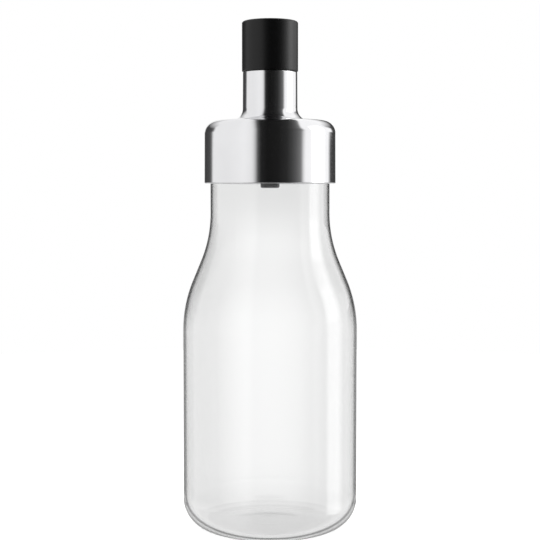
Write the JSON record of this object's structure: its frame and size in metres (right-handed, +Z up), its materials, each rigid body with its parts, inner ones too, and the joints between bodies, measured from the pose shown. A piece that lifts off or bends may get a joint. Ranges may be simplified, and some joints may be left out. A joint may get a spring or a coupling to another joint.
{
  "type": "salad dressing shaker bottle",
  "caption": "Clear glass dressing shaker with a swept shoulder, a lift-off polished steel pouring lid and a black stopper cap.",
  "frame": {"origin": "centre of the carafe's foot ring, on the surface that it stands on", "axes": "+Z up along the axis of the bottle; the bottle is round, so +X and +Y are free, with the funnel's air hole on +X"},
  "size_m": [0.07, 0.07, 0.2032],
  "materials": {
    "clear_glass": "clear colourless blown glass, fire-polished rim",
    "polished_steel": "drawn stainless steel with a fine polish",
    "black_nylon": "moulded black nylon, satin",
    "gloss_black": "moulded black plastic, glossy",
    "matte_black": "moulded black plastic with a fine matte grain",
    "grey_silicone": "dark grey silicone, soft matte"
  },
  "bodies": {
    "bottle": {"glass_bottle": "clear_glass"},
    "lid": {"lid_shell": "polished_steel", "neck_liner": "black_nylon", "lid_plug": "black_nylon", "neck_seal": "grey_silicone", "rim_gasket": "grey_silicone", "pour_tube": "gloss_black", "pour_lip": "polished_steel"},
    "cap": {"cap_shell": "matte_black", "cap_stopper": "grey_silicone", "cap_ring": "grey_silicone"}
  },
  "joints": [
    {"name": "lid_lift", "type": "slide", "parent": "bottle", "child": "lid", "axis": [0, 0, 1], "range_m": [0, 0.055]},
    {"name": "cap_lift", "type": "slide", "parent": "lid", "child": "cap", "axis": [0, 0, 1], "range_m": [0, 0.025]}
  ]
}
